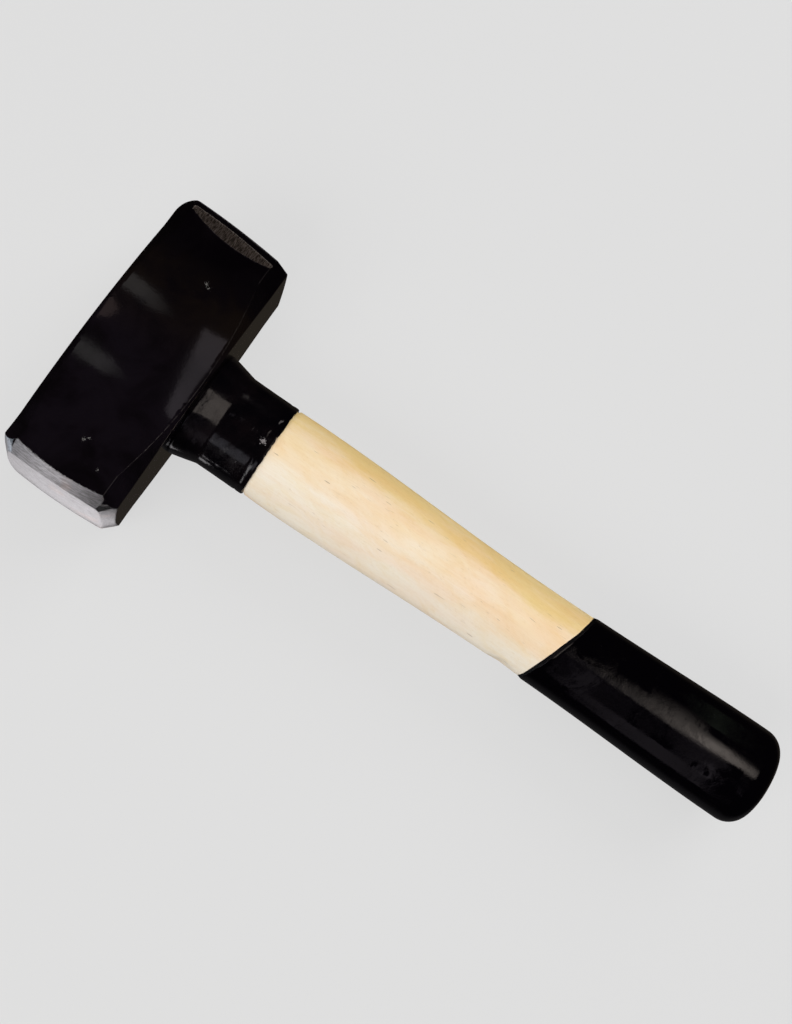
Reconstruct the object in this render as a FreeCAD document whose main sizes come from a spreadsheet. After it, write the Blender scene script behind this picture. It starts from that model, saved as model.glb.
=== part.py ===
import FreeCAD, Part
import os
import Sketcher

# Club hammer with a 1 kg octagonal head, lying on one cheek.
# +X runs along the handle from the head to the grip end, +Y along the head, +Z up out of the cheek.
# Each piece is drawn about the crossing of the handle's axis and the head's axis, and its
# Placement lifts it by half the head's width, so the origin is the middle of the lower cheek.

SIZES = [
    # alias, millimetres or degrees, meaning
    ("head_width", 40.0, "head across its flats, both ways"),
    ("head_length", 99.2, "head over its two crowned faces"),
    ("corner_chamfer_end", 5.0, "corner chamfer leg near each face"),
    ("corner_chamfer_middle", 0.8, "corner chamfer leg beside the eye"),
    ("chamfer_run_out", 37.0, "distance from the middle where the chamfer reaches its full leg"),
    ("near_crown_radius", 200.0, "spherical crown of the near striking face"),
    ("far_crown_radius", 200.0, "spherical crown of the far striking face"),
    ("far_face_offset", -10.0, "the far face is ground with its crown this far off the head's axis"),
    ("bevel_setback", 3.75, "near face bevel, along the head, at the middle of a flat"),
    ("bevel_curve_radius", 109.0, "the bevel on each flat is barrelled to this radius"),
    ("corner_bevel_setback", 4.1, "near face bevel, along the head, on the corner chamfers"),
    ("corner_bevel_radius", 9.0, "barrel radius of the corner bevels"),
    ("spot_setback", 7.7, "length of the ground spot on a cheek beside the far face"),
    ("spot_radius", 320.0, "hollow of the ground spot"),
    ("spot_offset", 3.0, "middle of the ground spot, off the head's axis"),
    ("far_corner_round", 6.0, "rounding of the far face's edge on the crown side"),
    ("edge_round", 0.6, "rounding of the forged ridges"),
    ("eye_width_mouth", 29.0, "eye along the head, at both mouths"),
    ("eye_depth_mouth", 20.0, "eye across the head, at both mouths"),
    ("eye_width_waist", 26.5, "eye along the head, at its waist"),
    ("eye_depth_waist", 17.5, "eye across the head, at its waist"),
    ("tenon_recess", 0.4, "handle end below the head's crown"),
    ("wedge_recess", 0.7, "wedge tops below the head's crown"),
    ("wood_wedge_length", 24.0, "wood wedge, along the handle"),
    ("wood_wedge_thick", 4.2, "wood wedge at its thick end"),
    ("wood_wedge_thin", 0.8, "wood wedge at its thin end"),
    ("steel_wedge_length", 18.0, "steel wedge, along the handle"),
    ("steel_wedge_width", 15.0, "steel wedge, across the wood wedge"),
    ("steel_wedge_thick", 3.0, "steel wedge at its thick end"),
    ("steel_wedge_thin", 0.6, "steel wedge at its thin end"),
    ("neck_width_start", 30.2, "wood under the sleeve, beside the head"),
    ("neck_depth_start", 22.4, "wood under the sleeve, beside the head"),
    ("neck_width_end", 30.8, "wood under the sleeve, at the sleeve's end"),
    ("neck_depth_end", 23.0, "wood under the sleeve, at the sleeve's end"),
    ("sleeve_end", 47.0, "sleeve's end, from the eye's centre"),
    ("sleeve_shoulder_end", 29.5, "end of the sleeve's tapered shoulder"),
    ("sleeve_shoulder_width", 37.6, "shoulder against the head"),
    ("sleeve_shoulder_depth", 29.8, "shoulder against the head"),
    ("sleeve_width", 33.0, "sleeve beyond its shoulder"),
    ("sleeve_depth", 25.2, "sleeve beyond its shoulder"),
    ("sleeve_bead", 3.0, "length of the bead at the sleeve's end"),
    ("sleeve_groove", 0.35, "depth of the groove behind the bead"),
    ("handle_end", 237.4, "grip end, from the eye's centre"),
    ("handle_width_sleeve", 32.2, "wood where it leaves the sleeve"),
    ("handle_depth_sleeve", 24.4, "wood where it leaves the sleeve"),
    ("handle_width_mid", 30.8, "wood midway along the bare length"),
    ("handle_depth_mid", 23.4, "wood midway along the bare length"),
    ("waist_position", 157.0, "narrowest place, from the eye's centre"),
    ("waist_width", 29.4, "wood at the waist"),
    ("waist_depth", 22.4, "wood at the waist"),
    ("grip_width", 32.8, "wood at the grip's swell"),
    ("grip_depth", 25.4, "wood at the grip's swell"),
    ("swell_position", 226.0, "grip swell, from the eye's centre"),
    ("grip_end_round", 7.0, "rounding of the grip's end"),
    ("coat_thickness", 0.4, "dipped coat over the grip"),
    ("coat_edge_position", 156.8, "edge of the coat on the handle's axis"),
    ("coat_edge_angle", 20.0, "lean of the coat's edge"),
]

OUTPUT_FOLDER = "parts"
FAR_AWAY = "3 * Sizes.head_length"

# Degrees: an octagon's corner plane, a bevel that faces down and out, and the ground spot's slope.
CORNER_TURN = 45
BEVEL_TURN = 135
SPOT_SLOPE = 9

# Steps of the quarter circle that rounds the grip's end.
END_ROUND_STEPS = 4

# Two faces that meet at more than this angle, in radians, make a sharp edge.
SHARP_ANGLE = 0.05

# Where the far face's edge on the crown side is: share of the half width, and millimetres off the axis.
CROWN_SIDE_SHARE = 0.99
MIDDLE_BAND = 1.0

# Each wedge: where its thick end is, its length, and its thickness at both ends.
WEDGE_START = "-(Sizes.head_width / 2 - Sizes.wedge_recess)"
WOOD_WEDGE = (
    WEDGE_START,
    "Sizes.wood_wedge_length",
    "Sizes.wood_wedge_thick",
    "Sizes.wood_wedge_thin",
)
STEEL_WEDGE = (
    WEDGE_START,
    "Sizes.steel_wedge_length",
    "Sizes.steel_wedge_thick",
    "Sizes.steel_wedge_thin",
)


def make_sheet(doc):
    """Put the driving dimensions in a spreadsheet, one alias each."""
    sheet = doc.addObject("Spreadsheet::Sheet", "Sizes")
    for row, (alias, value, meaning) in enumerate(SIZES, start=1):
        sheet.set(f"A{row}", alias)
        sheet.set(f"B{row}", str(value))
        sheet.set(f"C{row}", meaning)
        sheet.setAlias(f"B{row}", alias)
    doc.recompute()
    return sheet


def make_body(doc, label):
    """Start a body that is drawn about the eye's centre and lifted onto its lower cheek."""
    body = doc.addObject("PartDesign::Body", label)
    body.Label = label
    body.setExpression("Placement.Base.z", "Sizes.head_width / 2")
    return body


def origin_feature(body, role):
    """Find one of the body's own origin planes or axes."""
    return next(item for item in body.Origin.OriginFeatures if item.Role == role)


def number(owner, expression):
    """Work out an expression's value with the sheet's present sizes."""
    value = owner.evalExpression(expression)
    return float(getattr(value, "Value", value))


def make_sketch(body, name, plane, offset=None, turns=()):
    """Attach a sketch to an origin plane, moved and turned within that plane's frame."""
    sketch = body.newObject("Sketcher::SketchObject", name)
    sketch.AttachmentSupport = [(origin_feature(body, plane), "")]
    sketch.MapMode = "FlatFace"
    rotation = FreeCAD.Rotation()
    for axis, angle in turns:
        rotation = rotation * FreeCAD.Rotation(FreeCAD.Vector(*axis), angle)
    sketch.AttachmentOffset = FreeCAD.Placement(FreeCAD.Vector(), rotation)
    for direction, expression in (offset or {}).items():
        sketch.setExpression(f"AttachmentOffset.Base.{direction}", expression)
    return sketch


def pin_point(sketch, geometry, end, across, up):
    """Hold a point at distances from the sketch's origin that the sheet drives."""
    for kind, expression in (("DistanceX", across), ("DistanceY", up)):
        value = number(sketch, expression)
        index = sketch.addConstraint(Sketcher.Constraint(kind, -1, 1, geometry, end, value))
        sketch.setExpression(f"Constraints[{index}]", expression)


def draw_outline(sketch, corners, bulges=None):
    """Draw a closed outline through corners. bulges gives a side's middle point, which makes it an arc."""
    bulges = bulges or {}
    points = [FreeCAD.Vector(number(sketch, x), number(sketch, y), 0) for x, y in corners]
    sides = []
    for index, start in enumerate(points):
        finish = points[(index + 1) % len(points)]
        if index in bulges:
            x, y = bulges[index]
            middle = FreeCAD.Vector(number(sketch, x), number(sketch, y), 0)
            side = sketch.addGeometry(Part.Arc(start, middle, finish), False)
        else:
            side = sketch.addGeometry(Part.LineSegment(start, finish), False)
        sides.append(side)
    for index, side in enumerate(sides):
        follower = sides[(index + 1) % len(sides)]
        side_end, next_start = end_numbers(sketch, side, follower, points[(index + 1) % len(points)])
        sketch.addConstraint(Sketcher.Constraint("Coincident", side, side_end, follower, next_start))
        pin_point(sketch, follower, next_start, *corners[(index + 1) % len(corners)])
    for index, (x, y) in bulges.items():
        middle = FreeCAD.Vector(number(sketch, x), number(sketch, y), 0)
        marker = sketch.addGeometry(Part.Point(middle), True)
        pin_point(sketch, marker, 1, x, y)
        sketch.addConstraint(Sketcher.Constraint("PointOnObject", marker, 1, sides[index]))


def end_numbers(sketch, side, follower, meeting):
    """Say which ends of two neighbouring sides lie on the corner where they meet."""
    found = []
    for geometry in (side, follower):
        ends = (1, 2)
        distances = [(sketch.getPoint(geometry, end) - meeting).Length for end in ends]
        found.append(ends[distances.index(min(distances))])
    return found


def draw_circle(sketch, radius, centre_up):
    """Draw a circle on the sketch's vertical axis."""
    centre = FreeCAD.Vector(0, number(sketch, centre_up), 0)
    circle = Part.Circle(centre, FreeCAD.Vector(0, 0, 1), number(sketch, radius))
    geometry = sketch.addGeometry(circle, False)
    index = sketch.addConstraint(Sketcher.Constraint("Radius", geometry, number(sketch, radius)))
    sketch.setExpression(f"Constraints[{index}]", radius)
    pin_point(sketch, geometry, 3, "0", centre_up)


def draw_square(sketch, half_side):
    """Draw a square about the sketch's origin."""
    low = f"-({half_side})"
    draw_outline(sketch, [(low, low), (half_side, low), (half_side, half_side), (low, half_side)])


def ellipse_section(body, name, station, width, depth):
    """Draw an oval across the handle's axis: width lies along the head, depth across it."""
    sketch = make_sketch(body, name, "YZ_Plane", {"z": station})
    half_width = number(sketch, width) / 2
    half_depth = number(sketch, depth) / 2
    oval = Part.Ellipse(
        FreeCAD.Vector(half_width, 0, 0), FreeCAD.Vector(0, half_depth, 0), FreeCAD.Vector()
    )
    geometry = sketch.addGeometry(oval, False)
    sketch.exposeInternalGeometry(geometry)
    long_axis = geometry + 1
    short_axis = geometry + 2
    sketch.addConstraint(Sketcher.Constraint("Coincident", geometry, 3, -1, 1))
    sketch.addConstraint(Sketcher.Constraint("PointOnObject", long_axis, 1, -1))
    for axis, size, half in ((long_axis, width, half_width), (short_axis, depth, half_depth)):
        index = sketch.addConstraint(Sketcher.Constraint("Distance", axis, 1, axis, 2, 2 * half))
        sketch.setExpression(f"Constraints[{index}]", size)
    return sketch


def add_loft(body, name, sections, kind="AdditiveLoft"):
    """Loft through sections, each a station, a width and a depth."""
    sketches = [
        ellipse_section(body, f"{name}_section_{index}", *section)
        for index, section in enumerate(sections, start=1)
    ]
    loft = body.newObject(f"PartDesign::{kind}", name)
    loft.Profile = (sketches[0], [""])
    loft.Sections = [(sketch, [""]) for sketch in sketches[1:]]
    body.Document.recompute()
    return loft


def cut_through(body, sketch, name):
    """Pocket a sketch through the body, both ways."""
    pocket = body.newObject("PartDesign::Pocket", name)
    pocket.Profile = (sketch, [""])
    pocket.Type = "ThroughAll"
    pocket.Midplane = True
    body.Document.recompute()
    return pocket


def repeat_about_head(body, feature, name, count):
    """Repeat a cut evenly about the head's own axis."""
    pattern = body.newObject("PartDesign::PolarPattern", name)
    pattern.Originals = [feature]
    pattern.Axis = (origin_feature(body, "Y_Axis"), [""])
    pattern.Angle = 360
    pattern.Occurrences = count
    body.Tip = pattern
    body.Document.recompute()
    return pattern


def blank_head(body):
    """The forged blank: a square bar with its axis along Y."""
    sketch = make_sketch(body, "blank_section", "XZ_Plane")
    draw_square(sketch, "Sizes.head_width / 2")
    pad = body.newObject("PartDesign::Pad", "blank")
    pad.Profile = (sketch, [""])
    pad.Midplane = True
    pad.setExpression("Length", "Sizes.head_length")
    body.Document.recompute()


def chamfer_corners(body):
    """Corner chamfers that run out towards the eye, so the ends are octagonal."""
    sketch = make_sketch(body, "corner_outline", "XY_Plane", turns=[((0, 1, 0), CORNER_TURN)])
    full_leg = "(Sizes.head_width - Sizes.corner_chamfer_end) / sqrt(2)"
    small_leg = "(Sizes.head_width - Sizes.corner_chamfer_middle) / sqrt(2)"
    run_out = "Sizes.chamfer_run_out"
    end = "Sizes.head_length"
    draw_outline(
        sketch,
        [
            (full_leg, f"-{end}"),
            (full_leg, f"-{run_out}"),
            (full_leg, run_out),
            (full_leg, end),
            (end, end),
            (end, f"-{end}"),
        ],
        bulges={1: (small_leg, "0")},
    )
    pocket = cut_through(body, sketch, "corner_chamfer")
    repeat_about_head(body, pocket, "corner_chamfers", 4)


def crown_face(body, name, side, centre, radius):
    """Turn one end to a spherical crown. side is -1 for the near face and 1 for the far face."""
    sketch = make_sketch(body, f"{name}_outline", "XY_Plane", {"x": centre})
    tip = f"({side}) * Sizes.head_length / 2"
    reach = "Sizes.head_width"
    sag = f"({radius} - sqrt({radius} ^ 2 - {reach} ^ 2))"
    half_sag = f"({radius} - sqrt({radius} ^ 2 - ({reach} / 2) ^ 2))"
    rim = f"{tip} - ({side}) * {sag}"
    outside = f"({side}) * Sizes.head_length"
    draw_outline(
        sketch,
        [("0", tip), (reach, rim), (reach, outside), ("0", outside)],
        bulges={0: (f"{reach} / 2", f"{tip} - ({side}) * {half_sag}")},
    )
    groove = body.newObject("PartDesign::Groove", name)
    groove.Profile = (sketch, [""])
    groove.ReferenceAxis = (sketch, ["V_Axis"])
    groove.Angle = 360
    body.Document.recompute()


def bevel_near_face(body):
    """Ground bevels round the near face, barrelled so that their edges on the flats are arcs."""
    setback = "Sizes.head_length / 2 - Sizes.bevel_setback"
    sketch = make_sketch(
        body,
        "flat_bevel_outline",
        "XY_Plane",
        {"y": f"-({setback})", "z": "Sizes.head_width / 2"},
        [((1, 0, 0), BEVEL_TURN)],
    )
    draw_square(sketch, FAR_AWAY)
    draw_circle(sketch, "Sizes.bevel_curve_radius", "-Sizes.bevel_curve_radius")
    pocket = cut_through(body, sketch, "flat_bevel")
    repeat_about_head(body, pocket, "flat_bevels", 4)


def bevel_near_corners(body):
    """The same bevels across the corner chamfers, where they are narrow and rounder."""
    flat = "(Sizes.head_width - Sizes.corner_chamfer_end) / 2"
    setback = "Sizes.head_length / 2 - Sizes.corner_bevel_setback"
    sketch = make_sketch(
        body,
        "corner_bevel_outline",
        "XY_Plane",
        {"x": flat, "y": f"-({setback})", "z": flat},
        [((0, 1, 0), CORNER_TURN), ((1, 0, 0), BEVEL_TURN)],
    )
    reach = "Sizes.corner_chamfer_end"
    drop = (
        "(Sizes.corner_bevel_radius"
        " - sqrt(Sizes.corner_bevel_radius ^ 2 - Sizes.corner_chamfer_end ^ 2))"
    )
    top = "Sizes.head_width"
    low = f"-{drop}"
    draw_outline(
        sketch,
        [(f"-{reach}", low), (reach, low), (reach, top), (f"-{reach}", top)],
        bulges={0: ("0", "0")},
    )
    pocket = cut_through(body, sketch, "corner_bevel")
    repeat_about_head(body, pocket, "corner_bevels", 4)


def grind_spots(body):
    """A shallow hollow-ground spot on each cheek beside the far face."""
    sketch = make_sketch(
        body,
        "spot_outline",
        "XY_Plane",
        {
            "x": "Sizes.spot_offset",
            "y": "Sizes.head_length / 2 - Sizes.spot_setback",
            "z": "Sizes.head_width / 2",
        },
        [((1, 0, 0), 90 - SPOT_SLOPE)],
    )
    draw_circle(sketch, "Sizes.spot_radius", "Sizes.spot_radius")
    pocket = cut_through(body, sketch, "spot")
    repeat_about_head(body, pocket, "spots", 2)


def face_normal(face, point):
    """The outward direction of a face at a point on it."""
    across, along = face.Surface.parameter(point)
    return face.normalAt(across, along)


def sharp_edges(shape):
    """Numbers and middle points of the edges where two faces meet at an angle."""
    found = []
    for index, edge in enumerate(shape.Edges, start=1):
        middle = edge.valueAt((edge.FirstParameter + edge.LastParameter) / 2)
        normals = [face_normal(face, middle) for face in shape.ancestorsOfType(edge, Part.Face)]
        if len(normals) == 2 and normals[0].getAngle(normals[1]) > SHARP_ANGLE:
            found.append((f"Edge{index}", middle))
    return found


def round_edges(body, name, radius, chosen):
    """Fillet the chosen sharp edges of the body as it stands."""
    base = body.Tip
    edges = [edge for edge, middle in sharp_edges(base.Shape) if chosen(middle)]
    fillet = body.newObject("PartDesign::Fillet", name)
    fillet.Base = (base, edges)
    fillet.setExpression("Radius", radius)
    body.Document.recompute()


def round_head(body):
    """Dub off the far face's edge on the crown side, then break every other edge."""
    crown_side = -number(body, "Sizes.head_width / 2") * CROWN_SIDE_SHARE
    beside_far_face = number(body, "Sizes.head_length / 2 - Sizes.far_corner_round")

    def on_far_crown_edge(point):
        in_middle = abs(point.z) < MIDDLE_BAND
        return point.x < crown_side and point.y > beside_far_face and in_middle

    round_edges(body, "far_corner", "Sizes.far_corner_round", on_far_crown_edge)
    round_edges(body, "ridges", "Sizes.edge_round", lambda point: True)


def bore_eye(body):
    """The oval eye, drifted from both sides so that it narrows to a waist."""
    half = "Sizes.head_width / 2"
    mouth = ("Sizes.eye_width_mouth", "Sizes.eye_depth_mouth")
    waist = ("Sizes.eye_width_waist", "Sizes.eye_depth_waist")
    add_loft(body, "eye_crown_side", [(f"-{half}", *mouth), ("0", *waist)], "SubtractiveLoft")
    add_loft(body, "eye_handle_side", [("0", *waist), (half, *mouth)], "SubtractiveLoft")


def make_head(doc):
    """Forged head: octagonal ends, crowned faces, bevels and the double-tapered eye."""
    body = make_body(doc, "hammer_head")
    blank_head(body)
    chamfer_corners(body)
    crown_face(body, "near_crown", -1, "0", "Sizes.near_crown_radius")
    crown_face(body, "far_crown", 1, "Sizes.far_face_offset", "Sizes.far_crown_radius")
    bevel_near_face(body)
    bevel_near_corners(body)
    grind_spots(body)
    round_head(body)
    bore_eye(body)
    return body


def handle_sections():
    """Stations of the handle beyond the sleeve: place, width along the head, depth across it."""
    return [
        ("Sizes.sleeve_end", "Sizes.handle_width_sleeve", "Sizes.handle_depth_sleeve"),
        (
            "(Sizes.sleeve_end + Sizes.waist_position) / 2",
            "Sizes.handle_width_mid",
            "Sizes.handle_depth_mid",
        ),
        ("Sizes.waist_position", "Sizes.waist_width", "Sizes.waist_depth"),
        ("Sizes.swell_position", "Sizes.grip_width", "Sizes.grip_depth"),
        ("Sizes.handle_end - Sizes.grip_end_round", "Sizes.grip_width", "Sizes.grip_depth"),
    ]


def end_sections(growth):
    """Stations that round off the grip's end, a quarter circle from its side to its flat end."""
    sections = []
    for step in range(END_ROUND_STEPS + 1):
        angle = 90 * step / END_ROUND_STEPS
        radius = f"(Sizes.grip_end_round + {growth})"
        station = f"Sizes.handle_end - Sizes.grip_end_round + {radius} * sin({angle} deg)"
        shrink = f"2 * {radius} * (1 - cos({angle} deg))"
        sections.append(
            (
                station,
                f"Sizes.grip_width + 2 * {growth} - {shrink}",
                f"Sizes.grip_depth + 2 * {growth} - {shrink}",
            )
        )
    return sections


def grown(sections, growth):
    """The same sections, thicker all round."""
    return [(at, f"{width} + 2 * {growth}", f"{depth} + 2 * {growth}") for at, width, depth in sections]


def make_handle(doc):
    """Wooden handle: tenon filling the eye, turned neck for the sleeve, waist and grip."""
    body = make_body(doc, "handle")
    half = "Sizes.head_width / 2"
    crown_end = f"-({half})"
    mouth = ("Sizes.eye_width_mouth", "Sizes.eye_depth_mouth")
    waist = ("Sizes.eye_width_waist", "Sizes.eye_depth_waist")
    add_loft(body, "tenon_crown_side", [(crown_end, *mouth), ("0", *waist)])
    add_loft(body, "tenon_handle_side", [("0", *waist), (half, *mouth)])
    neck_start = (half, "Sizes.neck_width_start", "Sizes.neck_depth_start")
    neck_end = ("Sizes.sleeve_end", "Sizes.neck_width_end", "Sizes.neck_depth_end")
    add_loft(body, "neck", [neck_start, neck_end])
    add_loft(body, "grip", handle_sections())
    add_loft(body, "grip_end", end_sections("0"))
    cut_crown_recess(body, "Sizes.tenon_recess")
    cut_wedge_slots(body)
    return body


def cut_crown_recess(body, recess):
    """Trim a piece in the eye so that it ends a little below the head's crown."""
    sketch = make_sketch(body, "crown_recess_outline", "XY_Plane")
    start = f"-(Sizes.head_width / 2 - {recess})"
    reach = "Sizes.head_width"
    draw_outline(
        sketch,
        [(f"-{reach}", f"-{reach}"), (start, f"-{reach}"), (start, reach), (f"-{reach}", reach)],
    )
    cut_through(body, sketch, "crown_recess")


def wedge_corners(start, length, thick, thin):
    """Outline of a wedge driven from the crown towards the handle."""
    tip = f"{start} + {length}"
    return [
        (start, f"-({thick}) / 2"),
        (tip, f"-({thin}) / 2"),
        (tip, f"({thin}) / 2"),
        (start, f"({thick}) / 2"),
    ]


def slot_corners(start, length, thick, thin):
    """Outline of the slot a wedge sits in: the wedge's own, carried on to the crown."""
    crown = "-Sizes.head_width / 2"
    wedge = wedge_corners(start, length, thick, thin)
    return [(crown, wedge[0][1]), *wedge, (crown, wedge[3][1])]


def cut_steel_wedge_slot(body):
    """Make room for the steel wedge."""
    sketch = make_sketch(body, "steel_wedge_slot_outline", "XY_Plane")
    draw_outline(sketch, slot_corners(*STEEL_WEDGE))
    pocket = body.newObject("PartDesign::Pocket", "steel_wedge_slot")
    pocket.Profile = (sketch, [""])
    pocket.Midplane = True
    pocket.setExpression("Length", "Sizes.steel_wedge_width")
    body.Document.recompute()


def cut_wedge_slots(body):
    """Saw the kerf that the wood wedge spreads, and the slot of the steel wedge across it."""
    sketch = make_sketch(body, "kerf_outline", "XZ_Plane")
    draw_outline(sketch, slot_corners(*WOOD_WEDGE))
    cut_through(body, sketch, "kerf")
    cut_steel_wedge_slot(body)


def make_wood_wedge(doc):
    """Wood wedge along the eye's long way, trimmed to the eye's outline."""
    body = make_body(doc, "wood_wedge")
    half = "Sizes.head_width / 2"
    mouth = ("Sizes.eye_width_mouth", "Sizes.eye_depth_mouth")
    waist = ("Sizes.eye_width_waist", "Sizes.eye_depth_waist")
    add_loft(body, "eye_fill_crown_side", [(f"-({half})", *mouth), ("0", *waist)])
    add_loft(body, "eye_fill_handle_side", [("0", *waist), (half, *mouth)])
    sketch = make_sketch(body, "wedge_outline", "XZ_Plane")
    draw_square(sketch, "Sizes.head_length")
    draw_outline(sketch, wedge_corners(*WOOD_WEDGE))
    cut_through(body, sketch, "wedge_sides")
    cut_steel_wedge_slot(body)
    return body


def make_steel_wedge(doc):
    """Steel wedge driven across the wood wedge."""
    body = make_body(doc, "steel_wedge")
    sketch = make_sketch(body, "wedge_outline", "XY_Plane")
    draw_outline(sketch, wedge_corners(*STEEL_WEDGE))
    pad = body.newObject("PartDesign::Pad", "wedge")
    pad.Profile = (sketch, [""])
    pad.Midplane = True
    pad.setExpression("Length", "Sizes.steel_wedge_width")
    body.Document.recompute()
    return body


def make_sleeve(doc):
    """Plastic neck sleeve: shoulder against the head, straight barrel, groove and end bead."""
    body = make_body(doc, "neck_sleeve")
    start = "Sizes.head_width / 2"
    barrel = ("Sizes.sleeve_width", "Sizes.sleeve_depth")
    groove_floor = tuple(f"{size} - 2 * Sizes.sleeve_groove" for size in barrel)
    groove_middle = "Sizes.sleeve_end - Sizes.sleeve_bead"
    outside = [
        (start, "Sizes.sleeve_shoulder_width", "Sizes.sleeve_shoulder_depth"),
        ("Sizes.sleeve_shoulder_end", *barrel),
        (f"{groove_middle} - Sizes.sleeve_groove", *barrel),
        (groove_middle, *groove_floor),
        (f"{groove_middle} + Sizes.sleeve_groove", *barrel),
        ("Sizes.sleeve_end - Sizes.sleeve_groove", *barrel),
        ("Sizes.sleeve_end", *groove_floor),
    ]
    loft = add_loft(body, "outside", outside)
    loft.Ruled = True
    neck_start = (start, "Sizes.neck_width_start", "Sizes.neck_depth_start")
    neck_end = ("Sizes.sleeve_end", "Sizes.neck_width_end", "Sizes.neck_depth_end")
    add_loft(body, "inside", [neck_start, neck_end], "SubtractiveLoft")
    return body


def make_coat(doc):
    """Thin dipped coat over the grip, with a slanted upper edge."""
    body = make_body(doc, "grip_coat")
    thickness = "Sizes.coat_thickness"
    add_loft(body, "outside", grown(handle_sections(), thickness))
    add_loft(body, "outside_end", end_sections(thickness))
    add_loft(body, "inside", handle_sections(), "SubtractiveLoft")
    add_loft(body, "inside_end", end_sections("0"), "SubtractiveLoft")
    sketch = make_sketch(body, "coat_edge_outline", "XY_Plane")
    reach = "Sizes.grip_width"
    lean = f"{reach} * tan(Sizes.coat_edge_angle * 1 deg)"
    edge = "Sizes.coat_edge_position"
    draw_outline(
        sketch,
        [("0", f"-{reach}"), (f"{edge} - {lean}", f"-{reach}"), (f"{edge} + {lean}", reach), ("0", reach)],
    )
    cut_through(body, sketch, "coat_edge")
    return body


def check_document(doc):
    """Stop if any object failed to build."""
    for item in doc.Objects:
        if "Invalid" in item.State or "Error" in item.State:
            raise RuntimeError(f"{item.Label} failed: {item.State}")


def write_piece(body):
    """Check one piece and write its file."""
    shape = body.Shape
    if shape.isNull() or not shape.isValid():
        raise RuntimeError(f"{body.Label} has no valid shape")
    shape.exportStep(os.path.join(OUTPUT_FOLDER, f"{body.Label}.step"))
    print(f"{body.Label}: {len(shape.Solids)} solid, {shape.Volume / 1000:.2f} cm3")


def main():
    doc = FreeCAD.newDocument("club_hammer")
    make_sheet(doc)
    makers = (make_head, make_handle, make_wood_wedge, make_steel_wedge, make_sleeve, make_coat)
    bodies = [maker(doc) for maker in makers]
    doc.recompute()
    check_document(doc)
    os.makedirs(OUTPUT_FOLDER, exist_ok=True)
    for body in bodies:
        write_piece(body)


main()
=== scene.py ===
import math

import bmesh
import bpy
from mathutils import Matrix, Vector, kdtree, noise
from mathutils.bvhtree import BVHTree


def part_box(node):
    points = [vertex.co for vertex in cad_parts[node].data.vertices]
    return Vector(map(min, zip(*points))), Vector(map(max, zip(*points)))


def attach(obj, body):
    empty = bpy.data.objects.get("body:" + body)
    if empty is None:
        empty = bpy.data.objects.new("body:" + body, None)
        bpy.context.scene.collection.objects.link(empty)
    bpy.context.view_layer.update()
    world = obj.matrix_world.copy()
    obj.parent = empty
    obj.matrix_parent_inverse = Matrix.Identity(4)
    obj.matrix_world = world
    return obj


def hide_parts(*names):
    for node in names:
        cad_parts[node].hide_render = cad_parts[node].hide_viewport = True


# Club hammer lying on its cheek. Metres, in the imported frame: +X along the handle to the grip's end,
# +Y along the head, +Z up. The near striking face is the one at -Y.

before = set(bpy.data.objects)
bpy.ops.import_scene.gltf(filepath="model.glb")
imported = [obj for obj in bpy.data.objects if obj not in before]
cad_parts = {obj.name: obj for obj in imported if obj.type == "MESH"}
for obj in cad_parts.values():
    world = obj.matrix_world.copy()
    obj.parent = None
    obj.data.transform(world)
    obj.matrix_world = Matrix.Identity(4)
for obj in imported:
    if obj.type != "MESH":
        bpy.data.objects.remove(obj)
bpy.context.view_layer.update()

MM = 0.001
HEAD_LOW, HEAD_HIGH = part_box("hammer_head")
HANDLE_LOW, HANDLE_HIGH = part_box("handle")
SLEEVE_LOW, SLEEVE_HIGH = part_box("neck_sleeve")
AXIS_Z = (HEAD_LOW.z + HEAD_HIGH.z) / 2
HALF_LENGTH = HEAD_HIGH.y
HALF_WIDTH = HEAD_HIGH.x

# Rays at the CAD surfaces start this far from the handle's axis.
RAY_START = 4 * HALF_WIDTH

# Each seed moves the noise on by this much.
SEED_STEP = (17.3, 5.1, 9.7)


# ---------------------------------------------------------------- meshes

def vector_noise(x, y, z, scale, seed=0):
    """Smooth noise from -1 to 1. scale is the size of a lump, in metres."""
    return noise.noise(Vector((x, y, z)) / scale + Vector([seed * step for step in SEED_STEP]))


def smooth_step(low, high, value):
    t = min(max((value - low) / (high - low), 0.0), 1.0)
    return t * t * (3 - 2 * t)


def cad_tree(node):
    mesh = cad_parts[node].data
    return BVHTree.FromPolygons([v.co for v in mesh.vertices], [p.vertices for p in mesh.polygons])


def reach(tree, centre, direction):
    """Distance from centre to the node's outer surface in a direction."""
    hit = tree.ray_cast(centre + direction * RAY_START, -direction)
    return RAY_START - hit[3]


def axis_point(x):
    return Vector((x, 0, AXIS_Z))


def around(angle):
    """Unit vector across the handle, at an angle from +Y towards +Z."""
    return Vector((0, math.cos(angle), math.sin(angle)))


def link(name, mesh, material, node):
    """A finished piece that rides on the root body and stands for its CAD node."""
    piece = bpy.data.objects.new(name, mesh)
    bpy.context.scene.collection.objects.link(piece)
    mesh.materials.clear()
    mesh.materials.append(material)
    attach(piece, "root")
    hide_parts(node)
    return piece


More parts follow.
